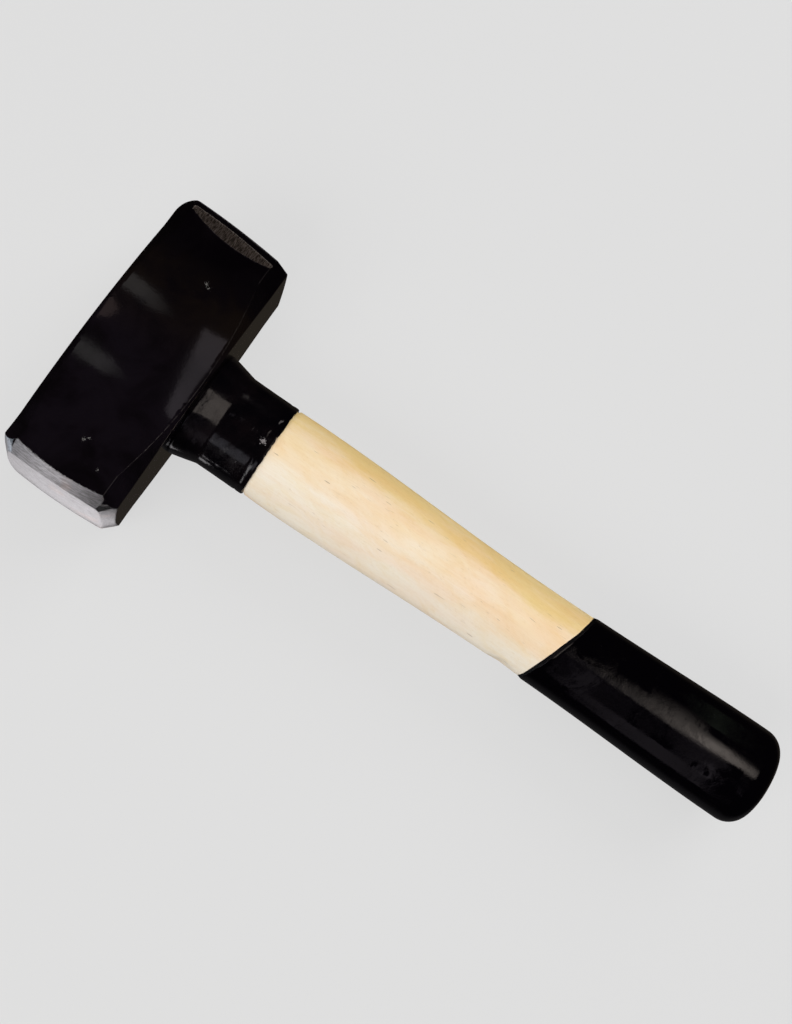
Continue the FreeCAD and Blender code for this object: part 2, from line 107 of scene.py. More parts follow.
def mesh_from_rows(name, rows, poles=(None, None), wrap=False):
    """Rows of points, each a closed ring, joined by quads. A pole closes an end with a fan."""
    count = len(rows[0])
    verts = [p for row in rows for p in row]
    faces = []
    last = len(rows) if wrap else len(rows) - 1
    for i in range(last):
        a = i * count
        b = (i + 1) % len(rows) * count
        for j in range(count):
            k = (j + 1) % count
            faces.append((a + j, b + j, b + k, a + k))
    for end, pole in enumerate(poles):
        if pole is None:
            continue
        verts.append(pole)
        base = (len(rows) - 1) * count if end else 0
        for j in range(count):
            k = (j + 1) % count
            fan = (base + j, len(verts) - 1, base + k)
            faces.append(fan if end else fan[::-1])
    mesh = bpy.data.meshes.new(name)
    mesh.from_pydata(verts, [], faces)
    bm = bmesh.new()
    bm.from_mesh(mesh)
    bmesh.ops.recalc_face_normals(bm, faces=bm.faces)
    bm.to_mesh(mesh)
    bm.free()
    mesh.shade_smooth()
    return mesh


def spaced(start, end, step):
    """Even values from start to end, no further apart than step."""
    count = max(2, math.ceil(abs(end - start) / step) + 1)
    return [start + (end - start) * i / (count - 1) for i in range(count)]


HANDLE_TREE = cad_tree("handle")
COAT_TREE = cad_tree("grip_coat")
SLEEVE_TREE = cad_tree("neck_sleeve")
RING = 120
ANGLES = [2 * math.pi * i / RING for i in range(RING)]

# The grip's rounded end is rows at tilts from the handle's axis, about a point this deep in it.
CAP_DEPTH = 12 * MM
CAP_START = HANDLE_HIGH.x - CAP_DEPTH
CAP_TILTS = [math.radians(a) for a in range(87, 0, -3)]

TURNING_DEPTH = 0.07 * MM
FIBRE_DEPTH = 0.012 * MM


def cap_direction(angle, tilt):
    return around(angle) * math.sin(tilt) + Vector((math.cos(tilt), 0, 0))


def wood_relief(p):
    """Inward wander of the turned wood: slow hand-shaping and raised fibres, in metres."""
    slow = vector_noise(p.x / 4, p.y, p.z, 9 * MM, 1)
    fibre = vector_noise(p.x / 14, p.y, p.z, 0.9 * MM, 2)
    return TURNING_DEPTH * (1 + slow) + FIBRE_DEPTH * (1 + fibre)


def tenon_reach(x, out):
    """Radius of the tenon's elliptical section, from two rays that miss the wedge slots."""
    centre = axis_point(x)
    tall = reach(HANDLE_TREE, centre, around(math.pi / 2))
    slant = reach(HANDLE_TREE, centre, around(math.pi / 4))
    wide_part = 2 / slant ** 2 - 1 / tall ** 2
    return 1 / math.sqrt(out.y ** 2 * wide_part + out.z ** 2 / tall ** 2)


def wood_reach(x, out):
    if x < HEAD_HIGH.x:
        return tenon_reach(x, out)
    return reach(HANDLE_TREE, axis_point(x), out)


def wood_point(x, angle):
    out = around(angle)
    p = axis_point(x) + out * wood_reach(x, out)
    return p - out * wood_relief(p)


def cap_point(tree, angle, tilt, sink=0.0):
    out = cap_direction(angle, tilt)
    centre = axis_point(CAP_START)
    p = centre + out * reach(tree, centre, out)
    return p - out * (wood_relief(p) + sink)


# Rings of the tenon's end, as shares of its radius, which is probed just inside the end.
END_SHARES = (0.12, 0.3, 0.5, 0.7, 0.85, 0.95, 0.985)
END_PROBE = 0.02 * MM
END_ROUNDING = 0.3 * MM
ROW_STEP = 1.0 * MM


def handle_mesh():
    """The wooden handle from the tenon in the eye to the rounded grip end."""
    start = HANDLE_LOW.x
    end_row = [wood_point(start + END_PROBE, a) for a in ANGLES]
    centre = axis_point(start)
    rows = [[centre + (p - centre) * share for p in end_row] for share in END_SHARES]
    for x in spaced(start + END_ROUNDING, CAP_START, ROW_STEP):
        rows.append([wood_point(x, a) for a in ANGLES])
    for tilt in CAP_TILTS:
        rows.append([cap_point(HANDLE_TREE, a, tilt) for a in ANGLES])
    tip = cap_point(HANDLE_TREE, 0, 0)
    return mesh_from_rows("handle_wood", rows, (centre, tip))


COAT_LEAN = math.tan(math.radians(20))
COAT_TIP = min((v.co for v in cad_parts["grip_coat"].data.vertices), key=lambda co: co.x)
COAT_EDGE = COAT_TIP.x - COAT_LEAN * COAT_TIP.y
COAT_WAVER = 0.22 * MM

# The coat starts as a film and reaches its CAD thickness over the feather. Its inside is sunk in the wood.
COAT_FILM = 0.1 * MM
COAT_FEATHER = 1.6 * MM
COAT_PROBE = 0.3 * MM
COAT_SINK = 0.03 * MM

# Rows from the coat's edge to the grip's rounded end, closest together at the edge.
COAT_SHARES = [0, 0.0015, 0.004, 0.008, 0.013, 0.02, 0.03] + spaced(0.042, 1, 0.0125)


def coat_start(angle):
    """X of the coat's edge at an angle round the handle: a slanted dip line with a slight waver."""
    out = around(angle)
    x = COAT_EDGE
    # The handle's half width at the edge depends on the edge's own X, so a few rounds settle it.
    for _ in range(4):
        y = out.y * reach(HANDLE_TREE, axis_point(x), out)
        x = COAT_EDGE + COAT_LEAN * y
    return x + COAT_WAVER * vector_noise(0, out.y, out.z, 0.35, 5)


def coat_mesh():
    """The dipped lacquer: a thin closed shell over the grip, feathered at its edge."""
    starts = [coat_start(a) for a in ANGLES]
    outer = []
    inner = []
    for share in COAT_SHARES:
        outer_row = []
        inner_row = []
        for angle, start in zip(ANGLES, starts):
            x = start + (CAP_START - start) * share
            out = around(angle)
            wood = reach(HANDLE_TREE, axis_point(x), out)
            coat = max(wood, reach(COAT_TREE, axis_point(max(x, start + COAT_PROBE)), out))
            p = axis_point(x) + out * wood
            rise = COAT_FILM + (coat - wood - COAT_FILM) * smooth_step(0, COAT_FEATHER, x - start)
            lump = wood_relief(p)
            outer_row.append(p + out * (rise - lump))
            inner_row.append(p - out * (lump + COAT_SINK))
        outer.append(outer_row)
        inner.append(inner_row)
    for tilt in CAP_TILTS:
        outer.append([cap_point(COAT_TREE, a, tilt) for a in ANGLES])
        inner.append([cap_point(HANDLE_TREE, a, tilt, COAT_SINK) for a in ANGLES])
    rows = inner[::-1] + outer
    poles = (cap_point(HANDLE_TREE, 0, 0, COAT_SINK), cap_point(COAT_TREE, 0, 0))
    return mesh_from_rows("grip_coating", rows, poles)


# Rows from the sleeve's shoulder to its end, closest together at both.
SLEEVE_SHARES = [0, 0.006, 0.015] + spaced(0.03, 0.97, 0.02) + [0.982, 0.99, 0.996, 1]
SLEEVE_PROBE = 0.01 * MM
SLEEVE_SINK = 0.02 * MM
RAGGED_END = 0.4 * MM
RAGGED_COARSE = 0.34 * MM
RAGGED_FINE = 0.12 * MM
SAG_BROAD = 0.16 * MM
SAG_FINE = 0.05 * MM
LIP_DROP, LIP_RUN = 0.45 * MM, 0.8 * MM
FOOT_DROP, FOOT_RUN = 0.25 * MM, 0.5 * MM


def sleeve_mesh():
    """The moulded neck sleeve: tapered shoulder, barrel, and a slightly ragged, rounded end."""
    start = SLEEVE_LOW.x
    end = SLEEVE_HIGH.x
    outer = []
    inner = []
    for share in SLEEVE_SHARES:
        outer_row = []
        inner_row = []
        for angle in ANGLES:
            out = around(angle)
            ragged = vector_noise(0, out.y, out.z, 0.16, 7) * RAGGED_COARSE
            ragged += vector_noise(0, out.y, out.z, 0.045, 8) * RAGGED_FINE
            x = start + (end - RAGGED_END + ragged - start) * share
            probe = min(max(x, start + SLEEVE_PROBE), end - SLEEVE_PROBE)
            shell = reach(SLEEVE_TREE, axis_point(probe), out)
            wood = wood_reach(min(max(x, start + SLEEVE_PROBE), end - RAGGED_END), out)
            p = axis_point(x) + out * shell
            sag = SAG_BROAD * (1 + vector_noise(p.x, p.y, p.z, 9 * MM, 9)) / 2
            sag += SAG_FINE * (1 + vector_noise(p.x, p.y, p.z, 2.5 * MM, 10)) / 2
            lip = LIP_DROP * (1 - smooth_step(0, LIP_RUN, end - x))
            foot = FOOT_DROP * (1 - smooth_step(0, FOOT_RUN, x - start))
            outer_row.append(p - out * (sag + lip + foot))
            inner_row.append(axis_point(x) + out * (wood - SLEEVE_SINK))
        outer.append(outer_row)
        inner.append(inner_row)
    return mesh_from_rows("sleeve", outer + inner[::-1], wrap=True)


# ---------------------------------------------------------------- head

# The cells' cuts are moved on by a small share of a cell, so that none lies on a CAD edge.
CELL = 1.2 * MM
CELL_OFFSET = 0.013
WELD = 0.001 * MM
FLAT_ANGLE = math.radians(0.3)
SHARP_ANGLE = math.radians(24)
RIM_SPACING = 0.3 * MM
NORMAL_WEIGHT = 80

# Ground faces lie within this much of the head's ends, and their normals lean at least so far along Y.
END_ZONE = 8 * MM
NEAR_LEAN = 0.3
SPOT_LEAN = 0.06
SQUARE_ON = 0.9

# Depth of the forged unevenness on the cheeks, and how much more there is on the sides, in millimetres.
FORGED_DEPTH = 0.025
FORGED_SIDE_DEPTH = 0.07
FORGED_FINE_SHARE = 0.1
SIDE_ROUNDING = 1.5 * MM

# It grows over a run from the ground faces, and it fades out between two depths, to spare the eye.
RELIEF_RUN = 4 * MM
RELIEF_DEPTHS = (-6.5 * MM, -5.5 * MM)

# Vertex attribute: distance from the edge of the bare steel in millimetres, above zero on the steel.
GROUND_ATTRIBUTE = "ground_mm"


def is_ground(face):
    """True on the bare ground faces: both striking faces, the near bevels and the far cheek spots."""
    n = face.normal
    y = face.calc_center_median().y
    if abs(y) < HALF_LENGTH - END_ZONE:
        return False
    if y < 0:
        return n.y < -NEAR_LEAN
    return n.y > SQUARE_ON or (abs(n.z) > SQUARE_ON and n.y > SPOT_LEAN)


def cut_in_cells(bm):
    """Even cells for the long flats, so that the forged relief has vertices to move."""
    low = (HEAD_LOW.x, HEAD_LOW.y, HEAD_LOW.z)
    high = (HEAD_HIGH.x, HEAD_HIGH.y, HEAD_HIGH.z)
    for axis in range(3):
        count = round((high[axis] - low[axis]) / CELL)
        for k in range(1, count):
            at = Vector()
            normal = Vector()
            at[axis] = low[axis] + (high[axis] - low[axis]) * (k + CELL_OFFSET) / count
            normal[axis] = 1
            everything = bm.verts[:] + bm.edges[:] + bm.faces[:]
            bmesh.ops.bisect_plane(bm, geom=everything, dist=WELD / 10, plane_co=at, plane_no=normal)


def forged_relief(p):
    """Inward unevenness of the forged skin, in metres."""
    broad = vector_noise(p.x, p.y / 1.6, p.z, 17 * MM, 11)
    fine = vector_noise(p.x, p.y, p.z, 5 * MM, 12)
    rough_side = smooth_step(HALF_WIDTH - SIDE_ROUNDING, HALF_WIDTH, abs(p.x))
    depth = (FORGED_DEPTH + FORGED_SIDE_DEPTH * rough_side) * MM
    return depth * (1 + broad) / 2 + FORGED_FINE_SHARE * depth * (1 + fine) / 2


def ground_rim(bm):
    """Search tree of points along the edges between lacquered and ground faces, which turn sharp."""
    rim = []
    for edge in bm.edges:
        edge.smooth = edge.calc_face_angle(0) < SHARP_ANGLE
        kinds = {face.material_index for face in edge.link_faces}
        if len(kinds) == 2:
            edge.smooth = False
            a, b = (v.co.copy() for v in edge.verts)
            count = max(1, math.ceil((b - a).length / RIM_SPACING))
            rim += [a + (b - a) * i / count for i in range(count + 1)]
    tree = kdtree.KDTree(len(rim))
    for i, p in enumerate(rim):
        tree.insert(p, i)
    tree.balance()
    return tree


def head_mesh():
    """The forged head from its CAD mesh, with relief on the skin and the bare steel marked."""
    bm = bmesh.new()
    bm.from_mesh(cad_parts["hammer_head"].data)
    bmesh.ops.remove_doubles(bm, verts=bm.verts, dist=WELD)
    bmesh.ops.dissolve_limit(bm, angle_limit=FLAT_ANGLE, verts=bm.verts, edges=bm.edges)
    for face in bm.faces:
        face.material_index = int(is_ground(face))
    cut_in_cells(bm)
    tree = ground_rim(bm)
    layer = bm.verts.layers.float.new(GROUND_ATTRIBUTE)
    moves = {}
    for vert in bm.verts:
        away = tree.find(vert.co)[2]
        bare = any(face.material_index for face in vert.link_faces)
        vert[layer] = (away if bare else -away) / MM
        outside = max(abs(vert.co.x) - HALF_WIDTH, abs(vert.co.z - AXIS_Z) - HALF_WIDTH)
        skin = smooth_step(*RELIEF_DEPTHS, outside)
        share = 0 if bare else smooth_step(0, RELIEF_RUN, away) * skin
        moves[vert] = vert.normal * forged_relief(vert.co) * share
    for vert, move in moves.items():
        vert.co -= move
    for face in bm.faces:
        face.material_index = 0
        face.smooth = True
    mesh = bpy.data.meshes.new("forged_head")
    bm.to_mesh(mesh)
    bm.free()
    return mesh


def weight_normals(piece):
    """Shade the flats flat and the small roundings round, with the sharp edges kept."""
    bpy.context.view_layer.objects.active = piece
    modifier = piece.modifiers.new("weighted", "WEIGHTED_NORMAL")
    modifier.keep_sharp = True
    modifier.weight = NORMAL_WEIGHT
    graph = bpy.context.evaluated_depsgraph_get()
    mesh = bpy.data.meshes.new_from_object(piece.evaluated_get(graph))
    piece.modifiers.clear()
    piece.data = mesh


SLOT_LIFT = 0.6 * MM
SLOT_SHARP_ANGLE = math.radians(40)


def cut_slots(piece, *nodes):
    """Cut the wedges' slots in the tenon. A second, moved cut opens them at its end, past the wedges."""
    cutters = []
    for node in nodes:
        for lift in (0.0, SLOT_LIFT):
            cutter = bpy.data.objects.new(f"{node}_slot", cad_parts[node].data)
            cutter.location.x = -lift
            bpy.context.scene.collection.objects.link(cutter)
            cutters.append(cutter)
            cut = piece.modifiers.new(cutter.name, "BOOLEAN")
            cut.operation = "DIFFERENCE"
            cut.solver = "EXACT"
            cut.object = cutter
    bpy.context.view_layer.update()
    graph = bpy.context.evaluated_depsgraph_get()
    mesh = bpy.data.meshes.new_from_object(piece.evaluated_get(graph))
    piece.modifiers.clear()
    piece.data = mesh
    for cutter in cutters:
        bpy.data.objects.remove(cutter)
    mesh.set_sharp_from_angle(angle=SLOT_SHARP_ANGLE)


# ---------------------------------------------------------------- materials

class Graph:
    """Nodes of a material or of the world, joined by short calls."""

    def __init__(self, tree):
        self.nodes = tree.nodes
        self.links = tree.links

    def put(self, socket, value):
        if isinstance(value, bpy.types.NodeSocket):
            self.links.new(value, socket)
        else:
            socket.default_value = value

    def scale(self, vector, x, y, z):
        node = self.nodes.new("ShaderNodeVectorMath")
        node.operation = "MULTIPLY"
        self.put(node.inputs[0], vector)
        node.inputs[1].default_value = (x, y, z)
        return node.outputs[0]

    def shift(self, vector, by):
        node = self.nodes.new("ShaderNodeVectorMath")
        node.operation = "ADD"
        self.put(node.inputs[0], vector)
        self.put(node.inputs[1], by)
        return node.outputs[0]

    def math(self, operation, a, b=0.0):
        node = self.nodes.new("ShaderNodeMath")
        node.operation = operation
        self.put(node.inputs[0], a)
        self.put(node.inputs[1], b)
        return node.outputs[0]

    def split(self, vector):
        node = self.nodes.new("ShaderNodeSeparateXYZ")
        self.put(node.inputs[0], vector)
        return node.outputs

    def combine(self, x, y, z):
        node = self.nodes.new("ShaderNodeCombineXYZ")
        for socket, value in zip(node.inputs, (x, y, z)):
            self.put(socket, value)
        return node.outputs[0]

    def noise(self, vector, scale, detail, roughness=0.5, distortion=0.0):
        node = self.nodes.new("ShaderNodeTexNoise")
        self.put(node.inputs["Vector"], vector)
        node.inputs["Scale"].default_value = scale
        node.inputs["Detail"].default_value = detail
        node.inputs["Roughness"].default_value = roughness
        node.inputs["Distortion"].default_value = distortion
        return node.outputs[0]

    def cells(self, vector, scale):
        """Distance from the middle of the nearest random cell."""
        node = self.nodes.new("ShaderNodeTexVoronoi")
        self.put(node.inputs["Vector"], vector)
        node.inputs["Scale"].default_value = scale
        return node.outputs["Distance"]

    def ramp(self, value, low, high, to_low=0.0, to_high=1.0):
        """A smooth step from to_low to to_high while the value goes from low to high."""
        node = self.nodes.new("ShaderNodeMapRange")
        node.interpolation_type = "SMOOTHSTEP"
        for name, part in (("Value", value), ("From Min", low), ("From Max", high),
                           ("To Min", to_low), ("To Max", to_high)):
            self.put(node.inputs[name], part)
        return node.outputs["Result"]

    def mix(self, share, a, b):
        node = self.nodes.new("ShaderNodeMix")
        self.put(node.inputs["Factor"], share)
        self.put(node.inputs[2], a)
        self.put(node.inputs[3], b)
        return node.outputs[0]

    def blend(self, share, a, b, mode="MIX"):
        node = self.nodes.new("ShaderNodeMix")
        node.data_type = "RGBA"
        node.blend_type = mode
        self.put(node.inputs["Factor"], share)
        for socket, colour in ((node.inputs[6], a), (node.inputs[7], b)):
            self.put(socket, colour if isinstance(colour, bpy.types.NodeSocket) else (*colour, 1))
        return node.outputs[2]

    def stain(self, share, colour, tint):
        """A share of the colour multiplied by a tint."""
        return self.blend(share, colour, self.blend(1.0, colour, tint, "MULTIPLY"))


class Shader(Graph):
    """A procedural material. Positions in its patterns are in millimetres in the row frame."""

    def __init__(self, name):
        self.material = bpy.data.materials.new(name)
        self.material.use_nodes = True
        super().__init__(self.material.node_tree)
        self.surface = self.nodes["Principled BSDF"]
        coords = self.nodes.new("ShaderNodeTexCoord")
        self.place = self.scale(coords.outputs["Object"], 1 / MM, 1 / MM, 1 / MM)

    def distance(self, point):
        node = self.nodes.new("ShaderNodeVectorMath")
        node.operation = "DISTANCE"
        self.put(node.inputs[0], self.place)
        node.inputs[1].default_value = point
        return node.outputs["Value"]

    def attribute(self, name):
        node = self.nodes.new("ShaderNodeAttribute")
        node.attribute_name = name
        return node.outputs["Fac"]

    def bump(self, height_mm):
        node = self.nodes.new("ShaderNodeBump")
        node.inputs["Strength"].default_value = 1.0
        node.inputs["Distance"].default_value = MM
        self.put(node.inputs["Height"], height_mm)
        self.put(self.surface.inputs["Normal"], node.outputs[0])

    def set(self, **values):
        for name, value in values.items():
            socket = self.surface.inputs[name.replace("_", " ")]
            if isinstance(value, tuple):
                value = (*value, 1)
            self.put(socket, value)


# Chips in the lacquer: place on a cheek or side, and radius, in millimetres.
CHIPS = (
    ((0.6, -33.5, 40), 0.42),
    ((1.7, -32.4, 40), 0.2),
    ((9.2, -38.8, 40), 0.22),
    ((2.3, 27.4, 40), 0.45),
    ((3.6, 26.6, 40), 0.2),
    ((9.0, -21.0, 0), 0.8),
    ((-15.0, 12.0, 0), 0.5),
    ((20, 22.0, 12), 0.6),
    ((-20, -33.0, 27), 0.7),
)


# Lacquered rim that narrows the far spot on each cheek: an arc across the head and two ends.
RIM_START = HALF_LENGTH / MM - 3.1
RIM_CURVE = 0.0035
RIM_ARC_X = -10.0
RIM_MIDDLE = 0.2
RIM_HALF = 15.3
RIM_ROUNDING = 2.0
CHEEK_RISE = (17.0, 18.0)

LACQUER_NEAR = (0.0042, 0.0030, 0.0046)
LACQUER_FAR = (0.0044, 0.0029, 0.0024)
# Painted shade: the lacquer's far end is painted much darker than the rest of the same paint.
LACQUER_FAR_END_SHADE = (0.0009, 0.0005, 0.0010)
LACQUER_SMUDGE = (0.0018, 0.0012, 0.0018)
DUST = (0.03, 0.028, 0.027)
CHIP = (0.24, 0.23, 0.22)
STEEL_DARK = (0.20, 0.195, 0.195)
STEEL_PALE = (0.40, 0.395, 0.40)
STEEL_STAIN = (0.42, 0.33, 0.29)
BROWN_DARK = (0.09, 0.072, 0.062)
BROWN_PALE = (0.42, 0.365, 0.33)
SCRATCH = (0.75, 0.68, 0.62)


def head_material():
    """Glossy black lacquer over forged steel, ground bare where the attribute is positive."""
    s = Shader("lacquered_steel")
    p = s.place
    x, y, z = s.split(p)
    ragged = s.math("MULTIPLY", s.math("SUBTRACT", s.noise(p, 1.1, 4, 0.65), 0.5), 0.3)
    bare = s.ramp(s.math("ADD", s.attribute(GROUND_ATTRIBUTE), ragged), -0.05, 0.05)

    chip = None
    wobble = s.math("MULTIPLY", s.math("SUBTRACT", s.noise(p, 2.4, 3, 0.75), 0.5), 4.2)
    for point, radius in CHIPS:
        inside = s.ramp(s.math("ADD", s.distance(point), wobble), radius, radius - 0.12)
        chip = inside if chip is None else s.math("MAXIMUM", chip, inside)
    specks = s.ramp(s.cells(p, 0.11), 0.022, 0.012)
    chip = s.math("MAXIMUM", s.math("MULTIPLY", chip, 0.42), s.math("MULTIPLY", specks, 0.2))

    smudge = s.noise(p, 0.07, 3, 0.6, 0.4)
    peel = s.noise(p, 0.9, 2)
    dust = s.ramp(s.noise(p, 3.5, 3, 0.7), 0.62, 0.75)
    lacquer = s.blend(s.ramp(y, -5, 22), LACQUER_NEAR, LACQUER_FAR)
    # Painted shade: the lacquer darkens towards the far striking face.
    lacquer = s.blend(s.ramp(y, 22, 36), lacquer, LACQUER_FAR_END_SHADE)
    lacquer = s.blend(s.ramp(smudge, 0.35, 0.7), lacquer, LACQUER_SMUDGE)
    lacquer = s.blend(s.math("MULTIPLY", dust, 0.06), lacquer, DUST)
    lacquer = s.blend(chip, lacquer, CHIP)
    lacquer_rough = s.mix(s.ramp(smudge, 0.35, 0.75), 0.03, 0.055)
    lacquer_rough = s.math("ADD", lacquer_rough, s.math("MULTIPLY", dust, 0.02))
    lacquer_rough = s.mix(chip, lacquer_rough, 0.6)

    far_end = s.ramp(y, -1, 1)
    off = s.math("SUBTRACT", x, RIM_ARC_X)
    rim = s.math("ADD", y, s.math("MULTIPLY", s.math("MULTIPLY", off, off), RIM_CURVE))
    rim = s.math("SUBTRACT", rim, RIM_START)
    ends = s.math("SUBTRACT", s.math("ABSOLUTE", s.math("SUBTRACT", x, RIM_MIDDLE)), RIM_HALF)
    rim = s.math("SMOOTH_MAX", rim, ends)
    rim.node.inputs[2].default_value = RIM_ROUNDING
    rim = s.math("ADD", rim, s.math("MULTIPLY", ragged, 0.6))
    on_cheek = s.ramp(s.math("ABSOLUTE", s.math("SUBTRACT", z, AXIS_Z / MM)), *CHEEK_RISE)
    dark_rim = s.math("MULTIPLY", s.ramp(rim, 0.0, 0.35), on_cheek)
    bare = s.math("MULTIPLY", bare, s.math("SUBTRACT", 1.0, dark_rim))
    along = s.noise(s.scale(p, 3.6, 0.22, 3.6), 1, 4, 0.62)
    across = s.noise(s.scale(p, 0.35, 2.6, 3.2), 1, 4, 0.6)
    marks = s.mix(far_end, across, along)
    grain = s.noise(p, 2.2, 4, 0.7)
    stain = s.noise(p, 0.11, 2, 0.5)
    steel = s.blend(s.ramp(marks, 0.3, 0.72), STEEL_DARK, STEEL_PALE)
    steel = s.blend(s.math("MULTIPLY", s.ramp(stain, 0.55, 0.75), 0.5), steel, STEEL_STAIN)
    brown = s.blend(s.ramp(marks, 0.36, 0.66), BROWN_DARK, BROWN_PALE)
    scratch = s.ramp(s.noise(s.scale(p, 5.5, 0.35, 5.5), 1, 2, 0.5), 0.68, 0.8)
    brown = s.blend(scratch, brown, SCRATCH)
    steel = s.blend(far_end, steel, brown)
    steel_rough = s.ramp(grain, 0.3, 0.7, 0.34, 0.52)

    s.set(
        Base_Color=s.blend(bare, lacquer, steel),
        Metallic=bare,
        Roughness=s.mix(bare, lacquer_rough, steel_rough),
    )
    edge = s.math("ADD", s.attribute(GROUND_ATTRIBUTE), ragged)
    film = s.math("MULTIPLY", s.ramp(edge, -0.12, 0.03), -0.06)
    paint = s.math("ADD", s.math("MULTIPLY", peel, 0.0012), s.math("MULTIPLY", smudge, 0.003))
    paint = s.math("SUBTRACT", paint, s.math("MULTIPLY", chip, 0.07))
    scratches = s.math("ADD", s.math("MULTIPLY", marks, 0.022), s.math("MULTIPLY", grain, 0.008))
    s.bump(s.math("ADD", film, s.mix(bare, paint, scratches)))
    return s.material


# Where the growth rings centre in the YZ plane, and how far apart they lie, in millimetres.
PITH = (-60.0, -48.0)
RING_GAP = 2.9

# Pale on the handle's -Y side and golden on its +Y side: partly the wood's own tones, partly painted light
# on the -Y side and painted shade on the +Y side.
WOOD_PALE_AND_LIT = (0.83, 0.755, 0.64)
WOOD_CREAM = (0.81, 0.655, 0.45)
WOOD_GOLD_AND_SHADE = (0.76, 0.565, 0.245)
WOOD_MARK = (0.26, 0.17, 0.10)
FIGURE_TINT = (0.97, 0.90, 0.74)
SPECKLE_TINT = (0.88, 0.80, 0.66)
PINK_TINT = (1.0, 0.93, 0.90)
LATE_TINT = (0.90, 0.84, 0.74)
FIBRE_TINT = (0.84, 0.77, 0.66)
FINE_TINT = (0.78, 0.7, 0.6)


def wood_material(name, pith=PITH, tint=1.0):
    """Pale hardwood: growth rings about a pith beside the piece, fibres and short dark flecks."""
    s = Shader(name)
    wander = s.noise(s.scale(s.place, 0.012, 0.05, 0.05), 1, 2)
    wander = s.math("MULTIPLY", s.math("SUBTRACT", wander, 0.5), 7.0)
    p = s.shift(s.place, s.combine(0.0, wander, wander))
    y, z = s.split(p)[1:]
    dy = s.math("SUBTRACT", y, pith[0])
    dz = s.math("SUBTRACT", z, pith[1])
    radius = s.math("SQRT", s.math("ADD", s.math("MULTIPLY", dy, dy), s.math("MULTIPLY", dz, dz)))
    turn = s.math("FRACT", s.math("DIVIDE", radius, RING_GAP))
    late = s.math("MULTIPLY", s.ramp(turn, 0.35, 0.93), s.ramp(turn, 1.0, 0.94))

    fibre = s.noise(s.scale(p, 0.035, 2.6, 2.6), 1, 5, 0.62)
    fine = s.noise(s.scale(p, 0.12, 7.0, 7.0), 1, 3, 0.6)
    fleck_area = s.noise(s.scale(p, 0.03, 0.10, 0.10), 1, 2)
    flecks = s.noise(s.scale(p, 0.28, 2.3, 2.3), 1, 2, 0.5, 0.2)
    flecks = s.math("MULTIPLY", s.ramp(flecks, 0.665, 0.72), s.ramp(fleck_area, 0.35, 0.6))
    dashes = s.noise(s.scale(s.shift(p, (31, 7, 3)), 0.14, 1.3, 1.3), 1, 1, 0.5)
    dashes = s.ramp(dashes, 0.75, 0.78)

    # Across the handle the colour goes from pale at -Y to golden at +Y, with a wandering boundary: partly
    # the wood's own golden band, partly painted light and painted shade across the handle.
    drift = s.noise(s.scale(p, 0.026, 0.11, 0.11), 1, 4, 0.6)
    drift = s.math("MULTIPLY", s.math("SUBTRACT", drift, 0.5), 34.0)
    lit_to_shaded = s.math("ADD", y, drift)
    pale, cream, gold = ([part * tint for part in tone] for tone in (WOOD_PALE_AND_LIT, WOOD_CREAM, WOOD_GOLD_AND_SHADE))
    colour = s.blend(s.ramp(lit_to_shaded, -12.0, 2.0), pale, cream)
    colour = s.blend(s.ramp(lit_to_shaded, 0.0, 12.0), colour, gold)
    curl = s.shift(p, s.combine(s.math("MULTIPLY", y, 1.4), 0.0, 0.0))
    figure = s.noise(s.scale(curl, 0.10, 0.22, 0.22), 1, 5, 0.68, 0.5)
    colour = s.stain(s.ramp(figure, 0.40, 0.66, 0.0, 0.55), colour, FIGURE_TINT)
    speckle = s.noise(s.scale(curl, 0.9, 2.4, 2.4), 1, 2, 0.6)
    colour = s.stain(s.ramp(speckle, 0.52, 0.74, 0.0, 0.30), colour, SPECKLE_TINT)
    patch = s.noise(s.scale(p, 0.03, 0.12, 0.12), 1, 2)
    colour = s.stain(s.ramp(patch, 0.4, 0.7), colour, PINK_TINT)
    colour = s.stain(s.math("MULTIPLY", late, 0.08), colour, LATE_TINT)
    colour = s.stain(s.ramp(fibre, 0.42, 0.75, 0.0, 0.20), colour, FIBRE_TINT)
    colour = s.stain(s.ramp(fine, 0.55, 0.8, 0.0, 0.25), colour, FINE_TINT)
    mark = s.math("MAXIMUM", s.math("MULTIPLY", flecks, 0.24), s.math("MULTIPLY", dashes, 0.55))
    colour = s.blend(mark, colour, WOOD_MARK)
    s.set(Base_Color=colour, Roughness=s.ramp(fibre, 0.3, 0.8, 0.42, 0.6))
    height = s.math("ADD", s.math("MULTIPLY", fibre, -0.035), s.math("MULTIPLY", fine, -0.012))
    s.bump(s.math("SUBTRACT", height, s.math("MULTIPLY", mark, 0.03)))
    return s.material


# Middle of the large scuff on top of the sleeve, in millimetres.
SCUFF_AT = (43.5, -1.5, 32.5)
SLEEVE_DARK = (0.0008, 0.0006, 0.0012)
SLEEVE_PALE = (0.0026, 0.0016, 0.0022)
SCUFF = (0.16, 0.145, 0.15)


